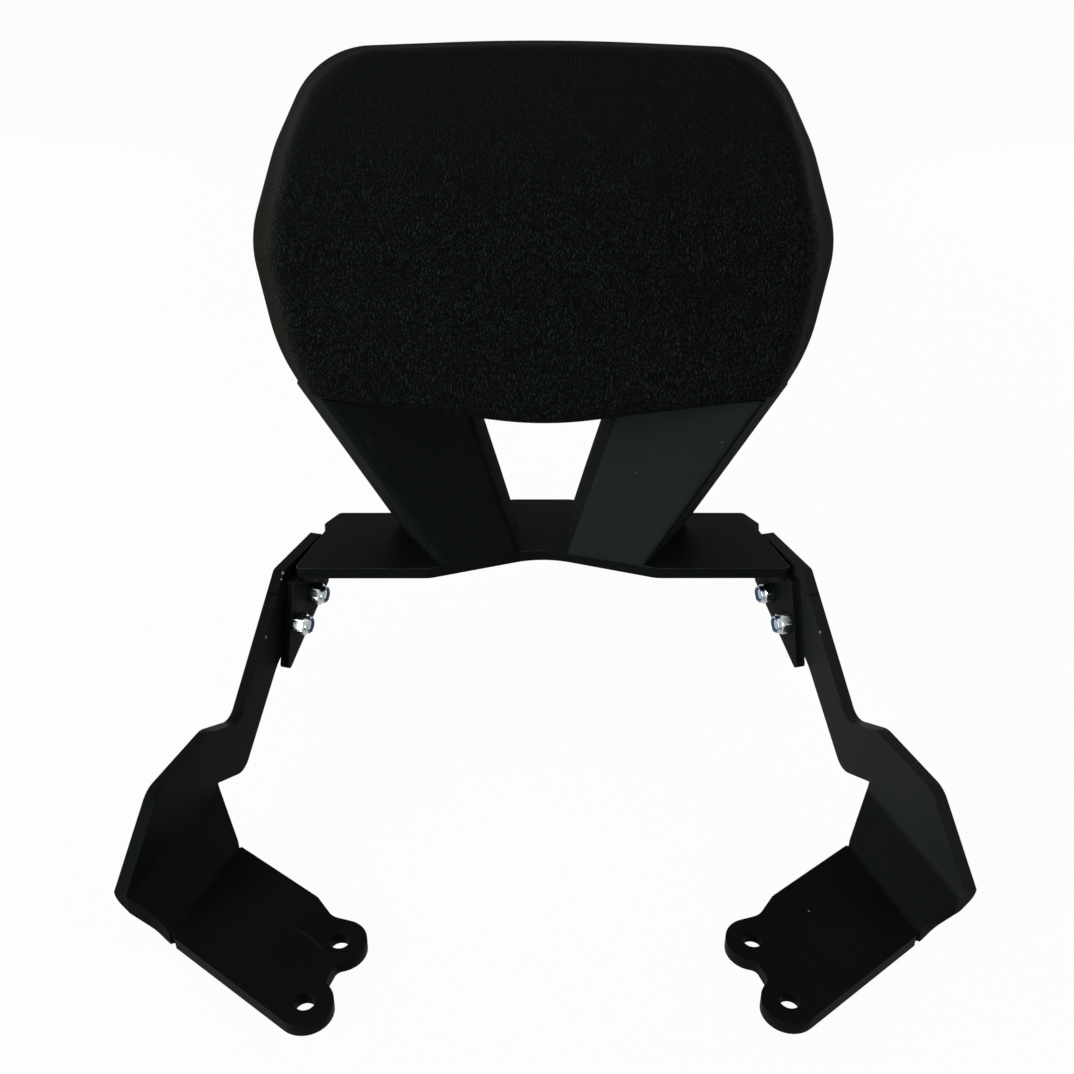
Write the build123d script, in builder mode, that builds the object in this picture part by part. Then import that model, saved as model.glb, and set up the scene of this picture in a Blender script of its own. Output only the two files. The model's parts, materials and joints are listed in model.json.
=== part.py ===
from build123d import *
import os
from math import cos, hypot, radians, sin, tan

# Passenger backrest for the tail of a motorbike: a padded backrest on a moulded carrier with two splayed
# legs, a steel cross plate under the legs and a folded steel bracket on each side.
# Millimetres, +Z up, +Y to the rear of the bike, +X to its left. The origin lies midway between the two
# front mounting holes, on the underside of the feet. The left side is modelled and mirrored for the right.

# Sheet steel
bracket_thickness = 6
plate_thickness = 6
ear_thickness = 5
bend_radius = 4
bend_relief = 1.5

# Feet: distances run outboard and rearward from the front hole, along the splayed bracket
front_hole_spacing = 196
hole_pitch = 33
hole_diameter = 8.5
splay_angle = 17
lobe_radius = 11.6
scallop_depth = 8
scallop_fillet = 4
hole_to_bend = 69.7
strip_width = 54
strip_skew = 21
strip_neck = 20
neck_step = 11
neck_fillet = 8
facet_lead = 2.4
facet_tail = 8.3
facet_waist_place = 7
facet_waist = 1.3
facet_waist_fillet = 12

# Slanted facet between the foot and the arm
facet_run = 17
facet_rise = 20

# Arms: distances run rearward from the front hole, along the arm, and up from the underside of the feet
plate_top = 99
shoulder_front = 44
shoulder_rear = 88
shoulder_height = 57
shoulder_fillet = 12
elbow_setback = 24
elbow_drop = 12
elbow_fillet = 9
arm_top_front = 169
arm_top_length = 45
arm_tail_lead = 5
arm_tail_drop = 20
arm_knee_lead = 17
arm_knee_drop = 46
arm_knee_fillet = 30
arm_heel_run = 110
arm_heel_height = 16.4
arm_heel_fillet = 10
arm_corner_fillet = 3

# Ears under the ends of the cross plate
ear_length = 43
ear_tip_lead = 16
ear_tip_drop = 52
ear_tail_lead = 6
ear_tail_drop = 25.5
ear_corner_fillet = 2
weld_size = 4
weld_setback = 4
weld_length = 34

# Cross plate: distances run rearward from its front edge
plate_setback = 2.5
plate_depth = 63
plate_end_depth = 41.5
plate_tail_length = 8.3
plate_tail_spread = 1.4
plate_tail_chamfer = 6.5
plate_notch_outer = 58
plate_notch_inner = 17
plate_notch_depth = 22
plate_notch_fillet = 40
plate_rear_step = 17
plate_corner_fillet = 3
plate_bend_fillet = 14
end_gap_front = 3.6
end_gap_rear = 0.4

# Backrest: the rest plane is the back of the pad, leaning to the rear. The corners of the pad's rim and of
# its front face are given before rounding, as half widths and heights up the rest plane from the cross plate
recline = 16
rest_setback = 10.5
pad_depth = 30
pad_edge_fillet = 5.5
pad_top = 252.4
pad_top_fillet = 1150
pad_bottom = 71.3
pad_bottom_flat = 98.3
pad_wide_half = 144.3
pad_wide_fillet = 52
pad_wide_rise = 52.9
pad_corner_inset = 36.7
pad_corner_drop = 4.2
pad_corner_fillet = 42
pad_side_inset = 14.1
pad_side_share = 0.49
pad_side_fillet = 80
pad_knee_inset = 11.4
pad_knee_rise = 21.6
pad_knee_fillet = 90
pad_low_inset = 24.4
pad_low_rise = 14.6
pad_low_fillet = 8
pad_gap = 0.3
face_top_inset = 8
face_corner_inset = 9
face_side_inset = 13
face_side_drop = 4
face_wide_inset = 17
face_wide_drop = 6
face_knee_inset = 13.5
face_low_inset = 10

# Carrier behind the pad
carrier_depth = 22
carrier_inset = 1.2
carrier_edge_fillet = 7
window_top = 74

# Legs: heights run up the rest plane, depths run back from it
leg_inner_foot = 12.5
leg_inner_lean = 18.4
leg_inner_low_draft = 1.7
leg_inner_top_draft = 10.1
leg_outer_foot = 56.8
leg_outer_draft = 20.6
leg_outer_inset = 2.3
leg_outer_rise = 2
leg_root_spread = 5
leg_root_rise = 22
leg_toe = 17.8
leg_apex_setback = 8.6
leg_foot_depth = 38
leg_edge_fillet = 3.5
leg_reach = 40

# Pad board
board_thickness = 6
board_inset = 12
board_gap = 0.3

# Bracket bolts, with washers under the heads and lock nuts on the ears
bolt_diameter = 6
bolt_hole = 6.6
bolt_hex = 10
bolt_head = 4
washer_diameter = 12
washer_hole = 6.4
washer_thickness = 1.6
nut_hex_height = 6
nut_collar_diameter = 9.2
nut_collar_height = 2
nut_ring_diameter = 8
nut_ring_height = 1.6
bolt_end_recess = 0.6
thread_gap = 0.05
upper_bolt_setback = 18
upper_bolt_drop = 22.2
lower_bolt_lead = 1.7
lower_bolt_drop = 29.2

# Leg bolts, from below the cross plate into inserts in the legs
leg_bolt_inner = 26
leg_bolt_outer = 46
leg_insert_diameter = 10
leg_insert_length = 14
leg_bolt_reach = 12

# Pad screws, from behind the carrier into inserts in the board
screw_diameter = 5
screw_hole = 5.5
screw_head_diameter = 9.5
screw_head = 3.8
screw_washer_diameter = 12
screw_washer_thickness = 1
screw_seat_diameter = 14
screw_seat_depth = 13
screw_insert_diameter = 8
screw_end_recess = 0.5
screw_low_half = 72
screw_low_height = 125
screw_high_half = 76
screw_high_height = 205

# Places along the arm and the ear
elbow_run = shoulder_rear + elbow_setback
elbow_height = shoulder_height - elbow_drop
arm_top_rear = arm_top_front + arm_top_length
arm_tail_run = arm_top_rear - arm_tail_lead
arm_tail_height = plate_top - arm_tail_drop
arm_knee_run = arm_top_front - arm_knee_lead
arm_knee_height = plate_top - arm_knee_drop
ear_front = arm_top_front
ear_rear = ear_front + ear_length
ear_tip_run = ear_front - ear_tip_lead
ear_tip_height = plate_top - ear_tip_drop
ear_tail_run = ear_rear - ear_tail_lead
ear_tail_height = plate_top - ear_tail_drop
weld_front = ear_front + weld_setback
bolt_points = [
    (ear_front + upper_bolt_setback, plate_top - upper_bolt_drop),
    (ear_front - lower_bolt_lead, plate_top - lower_bolt_drop),
]

# Corners of the pad and of the legs behind it
pad_corner_half = pad_wide_half - pad_corner_inset
pad_corner_height = pad_top - pad_corner_drop
pad_side_half = pad_wide_half - pad_side_inset
pad_knee_half = pad_wide_half - pad_knee_inset
pad_low_half = pad_wide_half - pad_low_inset
pad_low_height = pad_bottom + pad_low_rise
pad_knee_height = pad_low_height + pad_knee_rise
pad_wide_height = pad_knee_height + pad_wide_rise
pad_side_height = pad_wide_height + pad_side_share * (pad_corner_height - pad_wide_height)
low_slope = pad_low_rise / pad_low_half
pad_bottom_fillet = (hypot(pad_low_half, pad_low_rise) - pad_bottom_flat) / low_slope
outer_slope = (pad_low_half - leg_outer_inset - leg_outer_foot) / pad_low_height
leg_outer_top = pad_low_height + leg_outer_rise
leg_outer_half = leg_outer_foot + leg_outer_top * outer_slope
leg_root_half = leg_outer_half + leg_root_spread
leg_root_height = leg_outer_top + leg_root_rise

# Directions and planes of the left bracket
splay = radians(splay_angle)
outboard = Vector(cos(splay), sin(splay), 0)
rearward = Vector(-sin(splay), cos(splay), 0)
front_hole = Vector(front_hole_spacing / 2, 0, 0)
arm_offset = hole_to_bend + facet_run
strip_end = arm_offset + bracket_thickness
foot_plane = Plane(origin=front_hole, x_dir=outboard, z_dir=(0, 0, 1))
arm_plane = Plane(origin=front_hole + outboard * arm_offset, x_dir=rearward, z_dir=outboard)


def section_plane(run):
    """Plane across the bracket at a distance behind the front hole: outboard, then up."""
    return Plane(origin=front_hole + rearward * run, x_dir=outboard, z_dir=-rearward)


def arm_inner_x(y):
    """Distance of the arm's inner face from the middle of the bike."""
    return arm_plane.origin.X - (y - arm_plane.origin.Y) * tan(splay)


plate_front = (arm_plane.origin + rearward * arm_top_front).Y + plate_setback
plate_rear = plate_front + plate_depth
plate_end_rear = plate_front + plate_end_depth
rest_y = plate_front + rest_setback


# Folded strip: foot, slanted facet and the start of the arm
skew = radians(strip_skew)
facet_angle = Vector(1, 0, 0).get_angle(Vector(facet_run, facet_rise, 0))
foot_turn = tan(radians(facet_angle / 2))
arm_turn = tan(radians((90 - facet_angle) / 2))
facet_top = bracket_thickness + facet_rise
arm_start = facet_top + bend_radius * arm_turn
scallop_line = scallop_depth - lobe_radius


def strip_front(outward):
    """Front edge of the foot, tangent to the lobe of the front hole."""
    return outward * tan(skew) - lobe_radius / cos(skew)


def strip_rear(outward):
    """Rear edge of the foot, one strip width behind the front edge."""
    return strip_front(outward) + strip_width / cos(skew)


facet_front = strip_front(hole_to_bend) - facet_lead
facet_rear = strip_rear(arm_offset) + facet_tail
waist_run = strip_front(hole_to_bend) + facet_waist
lobe_rear = hole_pitch + lobe_radius

foot_corners = [
    ((lobe_radius * sin(skew), -lobe_radius * cos(skew)), 0),
    ((hole_to_bend, strip_front(hole_to_bend)), 0),
    ((hole_to_bend + facet_waist_place, waist_run), facet_waist_fillet),
    ((arm_offset, facet_front), 0),
    ((strip_end, facet_front), 0),
    ((strip_end, facet_rear), 0),
    ((arm_offset, facet_rear), 0),
    ((hole_to_bend, strip_rear(hole_to_bend)), 0),
    ((strip_neck, strip_rear(strip_neck)), neck_fillet),
    ((strip_neck - neck_step, lobe_rear), neck_fillet),
    ((0, lobe_rear), 0),
    ((scallop_line, hole_pitch), 0),
    ((scallop_line, 0), 0),
]
arm_corners = [
    ((facet_front, arm_start), 0),
    ((shoulder_front, shoulder_height), shoulder_fillet),
    ((shoulder_rear, shoulder_height), shoulder_fillet),
    ((elbow_run, elbow_height), elbow_fillet),
    ((arm_top_front, plate_top), arm_corner_fillet),
    ((arm_top_rear, plate_top), arm_corner_fillet),
    ((arm_tail_run, arm_tail_height), arm_corner_fillet),
    ((arm_knee_run, arm_knee_height), arm_knee_fillet),
    ((arm_heel_run, arm_heel_height), arm_heel_fillet),
    ((facet_rear, arm_start), 0),
]


def outline(corners):
    """Closed line through corners, each rounded by its own radius."""
    points = [point for point, radius in corners]
    radii = [radius for point, radius in corners]
    return FilletPolyline(*points, radius=radii, close=True)


with BuildPart() as bracket:
    with BuildSketch(section_plane(facet_rear)):
        with BuildLine():
            top = FilletPolyline(
                (-lobe_radius, bracket_thickness),
                (hole_to_bend, bracket_thickness),
                (arm_offset, facet_top),
                (arm_offset, shoulder_height),
                radius=bend_radius,
            )
            under = FilletPolyline(
                (-lobe_radius, 0),
                (hole_to_bend + bracket_thickness * foot_turn, 0),
                (strip_end, facet_top - bracket_thickness * arm_turn),
                (strip_end, shoulder_height),
                radius=bend_radius + bracket_thickness,
            )
            Line(top @ 0, under @ 0)
            Line(top @ 1, under @ 1)
        make_face()
    extrude(amount=facet_rear + lobe_radius)
    with BuildSketch(foot_plane) as foot:
        with BuildLine():
            outline(foot_corners)
        make_face()
        with Locations((0, 0), (0, hole_pitch)):
            Circle(lobe_radius)
        scallop_corners = foot.vertices().group_by(lambda corner: round(corner.X - scallop_line, 3) != 0)[0]
        fillet(scallop_corners, radius=scallop_fillet)
        with Locations((0, 0), (0, hole_pitch)):
            Circle(hole_diameter / 2, mode=Mode.SUBTRACT)
        with Locations((hole_to_bend, strip_front(hole_to_bend)), (hole_to_bend, strip_rear(hole_to_bend))):
            Circle(bend_relief, mode=Mode.SUBTRACT)
    extrude(amount=arm_start, mode=Mode.INTERSECT)
    with BuildSketch(arm_plane):
        with BuildLine():
            outline(arm_corners)
        make_face()
        with Locations(*bolt_points):
            Circle(bolt_hole / 2, mode=Mode.SUBTRACT)
    extrude(amount=bracket_thickness)

# Ear, face to face with the arm and welded under the end of the cross plate
plate_under = plate_top - plate_thickness
ear_corners = [
    ((ear_front, plate_under), 0),
    ((ear_tip_run, ear_tip_height), ear_corner_fillet),
    ((ear_tail_run, ear_tail_height), ear_corner_fillet),
    ((ear_rear, plate_under), 0),
]
with BuildPart() as ear:
    with BuildSketch(arm_plane):
        with BuildLine():
            outline(ear_corners)
        make_face()
        with Locations(*bolt_points):
            Circle(bolt_hole / 2, mode=Mode.SUBTRACT)
    extrude(amount=-ear_thickness)

ear_inner = arm_offset - ear_thickness
with BuildPart() as ear_weld:
    with BuildSketch(section_plane(weld_front + weld_length)):
        with BuildLine():
            Polyline(
                (ear_inner, plate_under),
                (ear_inner, plate_under - weld_size),
                (ear_inner - weld_size, plate_under),
                close=True,
            )
        make_face()
    extrude(amount=weld_length)

# Backrest frame: across, up the rest plane, and forward out of it
lean = radians(recline)
rest_plane = Plane(origin=(0, rest_y, plate_top), x_dir=(1, 0, 0), z_dir=(0, -cos(lean), sin(lean)))
toe = radians(leg_toe)


def leg_front(across):
    """Front face of a leg, forward of the rest plane."""
    return across * tan(toe) - leg_apex_setback


def leg_middle_y(across):
    """Middle of a leg's foot on the cross plate."""
    return rest_y - (leg_front(across) - leg_foot_depth) / 2 / cos(lean)


leg_bolt_points = [(across, leg_middle_y(across)) for across in (leg_bolt_inner, leg_bolt_outer)]
all_leg_bolt_points = [(side * x, y) for x, y in leg_bolt_points for side in (1, -1)]


def both_sides(corners):
    """Corners of a symmetric outline from those of its left half, given in order from the middle."""
    right_half = [((-x, y), radius) for (x, y), radius in reversed(corners) if x > 0]
    return corners + right_half


plate_end = arm_inner_x(plate_end_rear) - end_gap_rear
plate_tail = plate_end + plate_tail_spread
plate_corners = both_sides(
    [
        ((0, plate_front + plate_notch_depth), plate_notch_fillet),
        ((plate_notch_outer, plate_front), plate_bend_fillet),
        ((arm_inner_x(plate_front) - end_gap_front, plate_front), plate_corner_fillet),
        ((plate_end, plate_end_rear), plate_corner_fillet),
        ((plate_tail, plate_end_rear + plate_tail_length), plate_corner_fillet),
        ((plate_tail - plate_tail_chamfer, plate_rear), plate_corner_fillet),
        ((plate_notch_outer, plate_rear), plate_bend_fillet),
        ((plate_notch_inner, plate_rear + plate_rear_step), plate_bend_fillet),
    ]
)
with BuildPart() as cross_plate:
    with BuildSketch(Plane.XY.offset(plate_under)):
        with BuildLine():
            outline(plate_corners)
        make_face()
        with Locations(*all_leg_bolt_points):
            Circle(bolt_hole / 2, mode=Mode.SUBTRACT)
    extrude(amount=plate_thickness)

# Outlines of the pad: its rim on the rest plane and its smaller front face
face_low_half = pad_low_half - face_low_inset
rim_top_corners = [
    ((0, pad_top), pad_top_fillet),
    ((pad_corner_half, pad_corner_height), pad_corner_fillet),
    ((pad_side_half, pad_side_height), pad_side_fillet),
    ((pad_wide_half, pad_wide_height), pad_wide_fillet),
    ((pad_knee_half, pad_knee_height), pad_knee_fillet),
    ((pad_low_half, pad_low_height), pad_low_fillet),
]
rim_corners = both_sides([*rim_top_corners, ((0, pad_bottom), pad_bottom_fillet)])
face_corners = both_sides(
    [
        ((0, pad_top - face_top_inset), pad_top_fillet),
        ((pad_corner_half - face_corner_inset, pad_corner_height - face_top_inset), pad_corner_fillet),
        ((pad_side_half - face_side_inset, pad_side_height - face_side_drop), pad_side_fillet),
        ((pad_wide_half - face_wide_inset, pad_wide_height - face_wide_drop), pad_wide_fillet),
        ((pad_knee_half - face_knee_inset, pad_knee_height), pad_knee_fillet),
        ((face_low_half, pad_bottom + low_slope * face_low_half), pad_low_fillet),
        ((0, pad_bottom), pad_bottom_fillet),
    ]
)
pad_space = both_sides(
    [
        ((0, pad_top), 0),
        ((pad_wide_half, pad_top), 0),
        ((pad_wide_half, pad_bottom - pad_gap + low_slope * pad_wide_half), 0),
        ((0, pad_bottom - pad_gap), pad_bottom_fillet),
    ]
)
screw_points = [
    (side * half, height)
    for half, height in ((screw_low_half, screw_low_height), (screw_high_half, screw_high_height))
    for side in (1, -1)
]

with BuildPart() as backrest_pad:
    with BuildSketch(rest_plane):
        with BuildLine():
            outline(rim_corners)
        make_face()
    with BuildSketch(rest_plane.offset(pad_depth)):
        with BuildLine():
            outline(face_corners)
        make_face()
    loft(ruled=True)
    pad_face = backrest_pad.faces().sort_by(Axis((0, rest_y, plate_top), rest_plane.z_dir))[-1]
    fillet(pad_face.edges(), radius=pad_edge_fillet)
    with BuildSketch(rest_plane):
        with BuildLine():
            outline(rim_corners)
        make_face()
        offset(amount=-board_inset, kind=Kind.INTERSECTION, mode=Mode.REPLACE)
    extrude(amount=board_thickness, mode=Mode.SUBTRACT)

with BuildPart() as pad_board:
    with BuildSketch(rest_plane):
        with BuildLine():
            outline(rim_corners)
        make_face()
        offset(amount=-board_inset - board_gap, kind=Kind.INTERSECTION, mode=Mode.REPLACE)
        with Locations(*screw_points):
            Circle(screw_insert_diameter / 2, mode=Mode.SUBTRACT)
    extrude(amount=board_thickness)

# One leg of the carrier: splayed in front view, toed in plan and deeper towards the foot
front_plane = Plane(
    origin=rest_plane.from_local_coords((0, 0, -leg_apex_setback)),
    z_dir=rest_plane.z_dir * cos(toe) - Vector(sin(toe), 0, 0),
)
rear_plane = Plane(
    origin=rest_plane.from_local_coords((0, 0, -leg_foot_depth)),
    z_dir=rest_plane.z_dir * leg_root_height - rest_plane.y_dir * (leg_foot_depth - carrier_depth),
)
leg_below = -leg_foot_depth
inner_slope = tan(radians(leg_inner_lean))
draft_slope = tan(radians(leg_outer_draft))


def leg_inner(height, depth, draft):
    """Inner side of a leg, drafted towards the middle behind its front face."""
    across = leg_inner_foot + height * inner_slope
    return across + (depth - leg_front(across)) * tan(radians(draft))


with BuildPart() as leg:
    for depth in (-leg_foot_depth - leg_edge_fillet, leg_reach):
        outer_foot = leg_outer_foot - depth * draft_slope
        with BuildSketch(rest_plane.offset(depth)):
            with BuildLine():
                Polyline(
                    (leg_inner(leg_below, depth, leg_inner_low_draft), leg_below),
                    (outer_foot + leg_below * outer_slope, leg_below),
                    (outer_foot + leg_outer_top * outer_slope, leg_outer_top),
                    (leg_root_half, leg_root_height),
                    (leg_inner(leg_root_height, depth, leg_inner_top_draft), leg_root_height),
                    close=True,
                )
            make_face()
    loft(ruled=True)
    split(bisect_by=front_plane, keep=Keep.BOTTOM)
    split(bisect_by=rear_plane, keep=Keep.TOP)
    split(bisect_by=Plane.XY.offset(plate_top), keep=Keep.TOP)
    with BuildSketch(rest_plane):
        with BuildLine():
            outline(pad_space)
        make_face()
    extrude(amount=leg_reach, mode=Mode.SUBTRACT)
    leg_face = leg.faces().sort_by(Axis(front_plane.origin, front_plane.z_dir))[-1]
    leg_sides = leg_face.edges().sort_by(Axis.X)
    fillet([leg_sides[0], leg_sides[-1]], radius=leg_edge_fillet)

# Carrier: a back panel the shape of the pad, joined to both legs
body_corners = both_sides([*rim_top_corners, ((0, window_top), pad_bottom_fillet)])
with BuildPart() as backrest_carrier:
    with BuildSketch(rest_plane.offset(-carrier_depth)):
        with BuildLine():
            outline(body_corners)
        make_face()
        offset(amount=-carrier_inset, kind=Kind.INTERSECTION, mode=Mode.REPLACE)
    extrude(amount=carrier_depth)
    back_face = backrest_carrier.faces().sort_by(Axis((0, rest_y, plate_top), rest_plane.z_dir))[0]
    fillet(back_face.edges(), radius=carrier_edge_fillet)
    add(leg.part)
    mirror(leg.part, about=Plane.YZ)
    carrier_back = rest_plane.offset(-carrier_depth)
    with Locations(*[carrier_back * Location((x, y, 0), (180, 0, 0)) for x, y in screw_points]):
        CounterBoreHole(screw_hole / 2, screw_seat_diameter / 2, screw_seat_depth, carrier_depth)
    with BuildSketch(Plane.XY.offset(plate_top)):
        with Locations(*all_leg_bolt_points):
            Circle(leg_insert_diameter / 2 + thread_gap)
    extrude(amount=leg_insert_length + thread_gap, mode=Mode.SUBTRACT)

# Bracket bolts, heads outboard
head_plane = arm_plane.offset(bracket_thickness + washer_thickness)
nut_height = nut_hex_height + nut_collar_height
grip = washer_thickness + bracket_thickness + ear_thickness
with BuildPart() as bracket_bolts:
    with BuildSketch(head_plane):
        with Locations(*bolt_points):
            RegularPolygon(bolt_hex / 2, 6, major_radius=False)
    extrude(amount=bolt_head)
    with BuildSketch(head_plane):
        with Locations(*bolt_points):
            Circle(bolt_diameter / 2)
    extrude(amount=-grip - nut_height + bolt_end_recess)

with BuildPart() as bracket_washers:
    with BuildSketch(arm_plane.offset(bracket_thickness)):
        with Locations(*bolt_points):
            Circle(washer_diameter / 2)
            Circle(washer_hole / 2, mode=Mode.SUBTRACT)
    extrude(amount=washer_thickness)

# Lock nuts on the inner faces of the ears, each with a nylon ring let into its collar
nut_plane = arm_plane.offset(-ear_thickness)
ring_plane = nut_plane.offset(-nut_height)
thread_bore = bolt_diameter / 2 + thread_gap
with BuildPart() as lock_nuts:
    with BuildSketch(nut_plane):
        with Locations(*bolt_points):
            RegularPolygon(bolt_hex / 2, 6, major_radius=False)
    extrude(amount=-nut_hex_height)
    with BuildSketch(nut_plane):
        with Locations(*bolt_points):
            Circle(nut_collar_diameter / 2)
    extrude(amount=-nut_height)
    with BuildSketch(nut_plane):
        with Locations(*bolt_points):
            Circle(thread_bore)
    extrude(amount=-nut_height, mode=Mode.SUBTRACT)
    with BuildSketch(ring_plane):
        with Locations(*bolt_points):
            Circle(nut_ring_diameter / 2)
    extrude(amount=nut_ring_height, mode=Mode.SUBTRACT)

with BuildPart() as nut_rings:
    with BuildSketch(ring_plane):
        with Locations(*bolt_points):
            Circle(nut_ring_diameter / 2 - thread_gap)
            Circle(thread_bore, mode=Mode.SUBTRACT)
    extrude(amount=nut_ring_height)

# Leg bolts, heads under the cross plate, and the inserts that take them
leg_head_plane = Plane.XY.offset(plate_under - washer_thickness)
with BuildPart() as leg_bolts:
    with BuildSketch(leg_head_plane):
        with Locations(*leg_bolt_points):
            RegularPolygon(bolt_hex / 2, 6, major_radius=False)
    extrude(amount=-bolt_head)
    with BuildSketch(leg_head_plane):
        with Locations(*leg_bolt_points):
            Circle(bolt_diameter / 2)
    extrude(amount=washer_thickness + plate_thickness + leg_bolt_reach)

with BuildPart() as leg_washers:
    with BuildSketch(leg_head_plane):
        with Locations(*leg_bolt_points):
            Circle(washer_diameter / 2)
            Circle(washer_hole / 2, mode=Mode.SUBTRACT)
    extrude(amount=washer_thickness)

with BuildPart() as leg_inserts:
    with BuildSketch(Plane.XY.offset(plate_top)):
        with Locations(*leg_bolt_points):
            Circle(leg_insert_diameter / 2)
            Circle(thread_bore, mode=Mode.SUBTRACT)
    extrude(amount=leg_insert_length)

# Pad screws in their seats behind the carrier, and the inserts in the board
seat_plane = rest_plane.offset(screw_seat_depth - carrier_depth)
with BuildPart() as pad_screws:
    with BuildSketch(seat_plane.offset(-screw_washer_thickness)):
        with Locations(*screw_points):
            Circle(screw_head_diameter / 2)
    extrude(amount=-screw_head)
    with BuildSketch(seat_plane.offset(-screw_washer_thickness)):
        with Locations(*screw_points):
            Circle(screw_diameter / 2)
    screw_grip = screw_washer_thickness + carrier_depth - screw_seat_depth
    extrude(amount=screw_grip + board_thickness - screw_end_recess)

with BuildPart() as pad_screw_washers:
    with BuildSketch(seat_plane):
        with Locations(*screw_points):
            Circle(screw_washer_diameter / 2)
            Circle(screw_hole / 2, mode=Mode.SUBTRACT)
    extrude(amount=-screw_washer_thickness)

with BuildPart() as pad_inserts:
    with BuildSketch(rest_plane):
        with Locations(*screw_points):
            Circle(screw_insert_diameter / 2 - thread_gap)
            Circle(screw_diameter / 2 + thread_gap, mode=Mode.SUBTRACT)
    extrude(amount=board_thickness)

# One file for each piece
os.makedirs("parts", exist_ok=True)


def save(piece, name):
    """Write one finished piece under its name."""
    piece.part.label = name
    export_step(piece.part, f"parts/{name}.step")


save(backrest_pad, "backrest_pad")
save(pad_board, "pad_board")
save(backrest_carrier, "backrest_carrier")
save(cross_plate, "cross_plate")
save(pad_screws, "pad_screws")
save(pad_screw_washers, "pad_screw_washers")
save(pad_inserts, "pad_inserts")

handed = {
    "bracket": bracket,
    "ear": ear,
    "ear_weld": ear_weld,
    "bracket_bolts": bracket_bolts,
    "bracket_washers": bracket_washers,
    "lock_nuts": lock_nuts,
    "nut_rings": nut_rings,
    "leg_bolts": leg_bolts,
    "leg_washers": leg_washers,
    "leg_inserts": leg_inserts,
}
for name, left_piece in handed.items():
    with BuildPart() as right_piece:
        mirror(left_piece.part, about=Plane.YZ)
    save(left_piece, f"left_{name}")
    save(right_piece, f"right_{name}")
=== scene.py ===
# %% [markdown]
# A sissy bar: the padded backrest that a passenger leans on, bolted to the tail of a motorbike. The steel
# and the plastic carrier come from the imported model, which is loaded as a fixed frame. This lesson
# dresses that frame: it gives each surface its finish, rebuilds the soft pad, the small hardware and the
# welds with more detail than a solid model needs, and lights the whole much as the photograph does.

# %% Load the frame
import json
from math import cos, pi, radians, sin, tan

import bmesh
import bpy
from mathutils import Matrix, Vector

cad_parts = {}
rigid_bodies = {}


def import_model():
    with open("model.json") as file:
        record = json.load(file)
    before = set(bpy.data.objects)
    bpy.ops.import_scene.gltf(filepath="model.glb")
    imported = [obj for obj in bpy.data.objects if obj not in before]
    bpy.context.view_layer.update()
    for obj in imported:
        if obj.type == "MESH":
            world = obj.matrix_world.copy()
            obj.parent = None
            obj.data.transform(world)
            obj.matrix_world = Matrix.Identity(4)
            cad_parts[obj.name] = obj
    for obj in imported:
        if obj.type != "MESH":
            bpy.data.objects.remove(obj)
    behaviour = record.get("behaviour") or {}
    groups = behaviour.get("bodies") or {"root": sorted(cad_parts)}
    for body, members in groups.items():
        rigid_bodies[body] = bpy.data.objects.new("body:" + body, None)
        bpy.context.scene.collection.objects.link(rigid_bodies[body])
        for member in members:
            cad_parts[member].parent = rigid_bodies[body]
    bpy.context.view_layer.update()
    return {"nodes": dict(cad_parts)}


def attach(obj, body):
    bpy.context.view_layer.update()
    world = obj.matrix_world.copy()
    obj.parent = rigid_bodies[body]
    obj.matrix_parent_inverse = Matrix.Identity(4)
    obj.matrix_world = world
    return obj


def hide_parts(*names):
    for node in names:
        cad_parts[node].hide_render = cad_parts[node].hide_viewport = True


for leftover in list(bpy.data.objects):
    bpy.data.objects.remove(leftover)

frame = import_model()
nodes = frame["nodes"]
mm = 0.001

# %% [markdown]
# The camera stands where the photographer stood: a little above the backrest and looking down at it. A
# camera can be aimed by eye, but here its place, pitch, yaw and roll were found by laying the model over
# the picture. The three axes of a camera are its right, its up and the direction behind it, so they can
# be written straight into its matrix.

# %% Camera
scene = bpy.context.scene
camera_spot = Vector((-8.5, -325.1, 391.8)) * mm
pitch, yaw, roll = radians(28.09), radians(-0.58), radians(-0.26)
sensor_width, focal_pixels, photo_pixels = 36, 1160, 1074
ahead = Vector((-sin(yaw) * cos(pitch), cos(yaw) * cos(pitch), -sin(pitch)))
level = Vector((cos(yaw), sin(yaw), 0))
across = level * cos(roll) + ahead.cross(level) * sin(roll)
axes = Matrix((across, -ahead.cross(across), -ahead)).transposed().to_4x4()
lens = bpy.data.cameras.new("photo_camera")
lens.sensor_width = sensor_width
lens.lens = sensor_width * focal_pixels / photo_pixels
lens.clip_start = 0.01
lens.clip_end = 100
camera = bpy.data.objects.new("photo_camera", lens)
scene.collection.objects.link(camera)
camera.matrix_world = Matrix.Translation(camera_spot) @ axes
scene.camera = camera
scene.view_settings.view_transform = "Standard"
print("camera at", [round(x, 4) for x in camera.location], "lens", round(lens.lens, 2))

# %% [markdown]
# Two sets of directions are used all through: outboard and rearward along a bracket, which splays, and up
# and out of the backrest, which leans back. They are written once as vectors, with points in millimetres
# of the object, so that no later step repeats an angle.

# %% Directions of the object
lean, splay = radians(16), radians(17)
leg_sweep = tan(radians(17.8))
outboard = Vector((cos(splay), sin(splay), 0))
rearward = Vector((-sin(splay), cos(splay), 0))
front_hole = Vector((98, 0, 0))
arm_out, rest_run, rest_back, plate_top = 86.7, 169, 13, 99
arm_start = front_hole + outboard * arm_out
rest_origin = Vector((0, (arm_start + rearward * rest_run).y + rest_back, plate_top))
rest_up = Vector((0, sin(lean), cos(lean)))
rest_out = Vector((0, -cos(lean), sin(lean)))
print("rest starts at", [round(x, 1) for x in rest_origin], "mm")

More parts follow.
